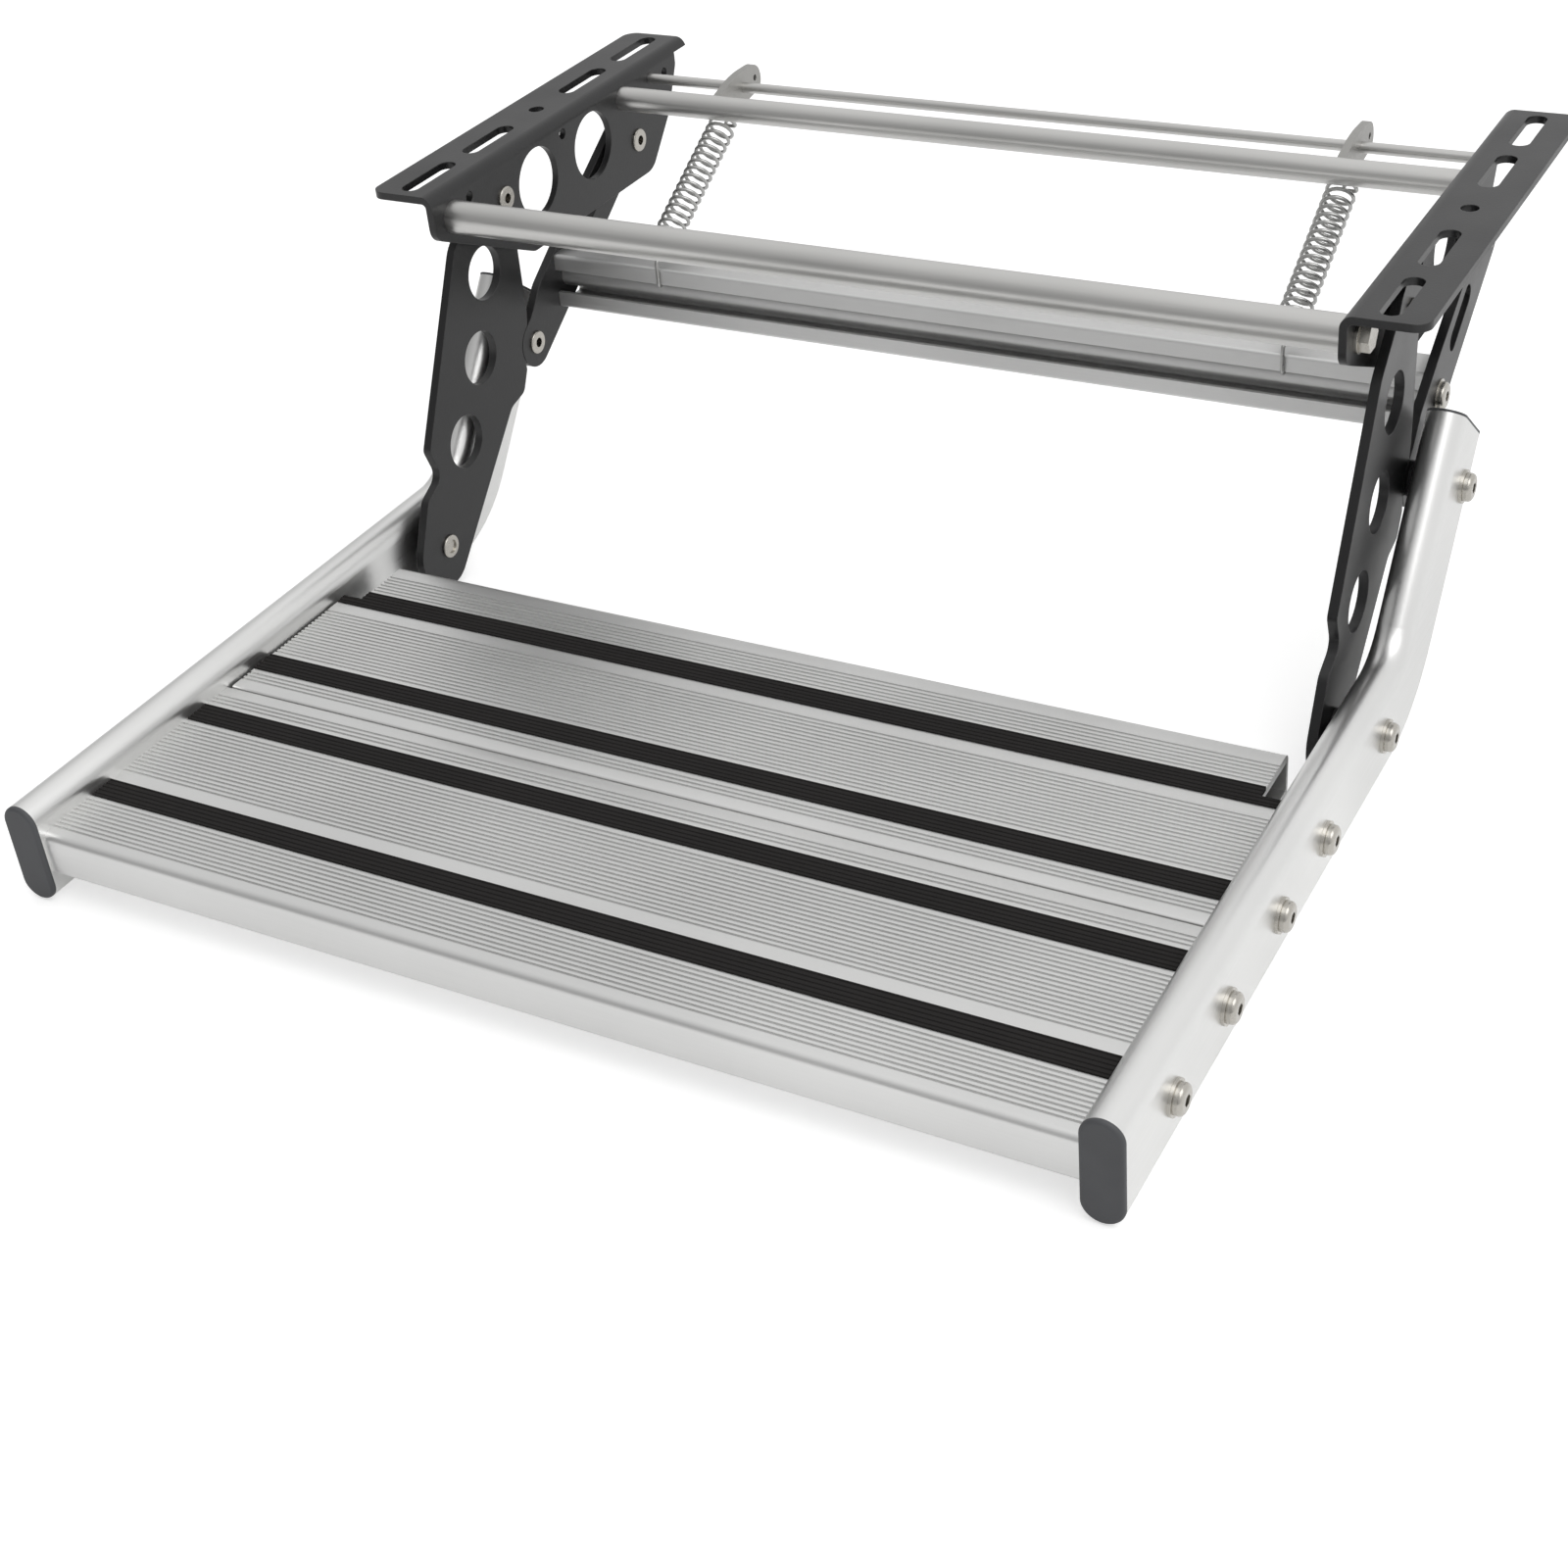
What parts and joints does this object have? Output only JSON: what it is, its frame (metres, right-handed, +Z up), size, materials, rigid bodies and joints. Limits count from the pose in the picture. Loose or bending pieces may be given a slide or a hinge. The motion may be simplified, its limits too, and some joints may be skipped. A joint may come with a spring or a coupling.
{
  "type": "folding caravan entry step",
  "caption": "Folding single entry step for a caravan or camper, ribbed aluminium tread on black folding links under a two-bracket hanging frame, with tension springs",
  "frame": {"origin": "middle between the two round centre holes of the flanges, on the plane of the flange tops that screws up against the vehicle floor", "axes": "X across the step to the right seen from the front, Y from the tread to the rear of the bracket, Z up"},
  "size_m": [0.5916, 0.6285, 0.228],
  "materials": {
    "black_coat": "satin black powder coat",
    "rail_aluminium": "satin anodised",
    "tread_aluminium": "fine ribbed, satin anodised",
    "channel_aluminium": "satin anodised",
    "grip_rubber": "matt black",
    "grey_plastic": "matt grey",
    "tube_steel": "bright zinc",
    "tab_steel": "plain zinc",
    "spring_wire": "zinc plated wire",
    "fastener_steel": "stainless",
    "spacer_nylon": "black nylon"
  },
  "bodies": {
    "hanging_frame": {"bracket_left": "black_coat", "bracket_right": "black_coat", "front_tube": "tube_steel", "hanger_rivets": "fastener_steel", "hanger_spacers": "spacer_nylon", "rear_tube": "tube_steel", "spring_left": "spring_wire", "spring_right": "spring_wire", "spring_tab_left": "tab_steel", "spring_tab_right": "tab_steel", "thin_rod": "tube_steel", "tube_bolts": "fastener_steel", "tube_plugs": "tube_steel", "tube_washers": "fastener_steel"},
    "front_links": {"front_link_left": "black_coat", "front_link_right": "black_coat"},
    "rear_links": {"cross_bolts": "fastener_steel", "cross_member": "channel_aluminium", "cross_washers": "fastener_steel", "elbow_bushes": "spacer_nylon", "elbow_rivets": "fastener_steel", "rear_link_left": "black_coat", "rear_link_right": "black_coat"},
    "step": {"arm_cap_left": "grey_plastic", "arm_cap_right": "grey_plastic", "elbow_bolts": "fastener_steel", "elbow_washers": "fastener_steel", "front_cap_left": "grey_plastic", "front_cap_right": "grey_plastic", "grip_strip_1": "grip_rubber", "grip_strip_2": "grip_rubber", "grip_strip_3": "grip_rubber", "grip_strip_4": "grip_rubber", "rail_left": "rail_aluminium", "rail_right": "rail_aluminium", "step_pivot_bolts": "fastener_steel", "step_pivot_sleeves": "fastener_steel", "step_pivot_spacers": "spacer_nylon", "step_pivot_washers": "fastener_steel", "tread_bolts": "fastener_steel", "tread_front": "tread_aluminium", "tread_rear": "tread_aluminium", "tread_spacers": "fastener_steel", "tread_washers": "fastener_steel"}
  },
  "joints": [
    {"name": "fold", "type": "hinge", "parent": "hanging_frame", "child": "front_links", "pos_m": [0, -0.0693, -0.0251], "axis": [1, 0, 0], "range_deg": [0, 84]},
    {"name": "rear_swing", "type": "hinge", "parent": "hanging_frame", "child": "rear_links", "pos_m": [0, 0.0714, -0.0421], "axis": [1, 0, 0], "range_deg": [0, 137.1], "deforming": ["spring_left", "spring_right"]},
    {"name": "step_swing", "type": "hinge", "parent": "front_links", "child": "step", "pos_m": [0, -0.1617, -0.201], "axis": [-1, 0, 0], "range_deg": [0, 88.2]}
  ],
  "couplings": [
    {"joint": "rear_swing", "follows": "fold", "ratio": 1.631},
    {"joint": "step_swing", "follows": "fold", "ratio": 1.0488}
  ]
}
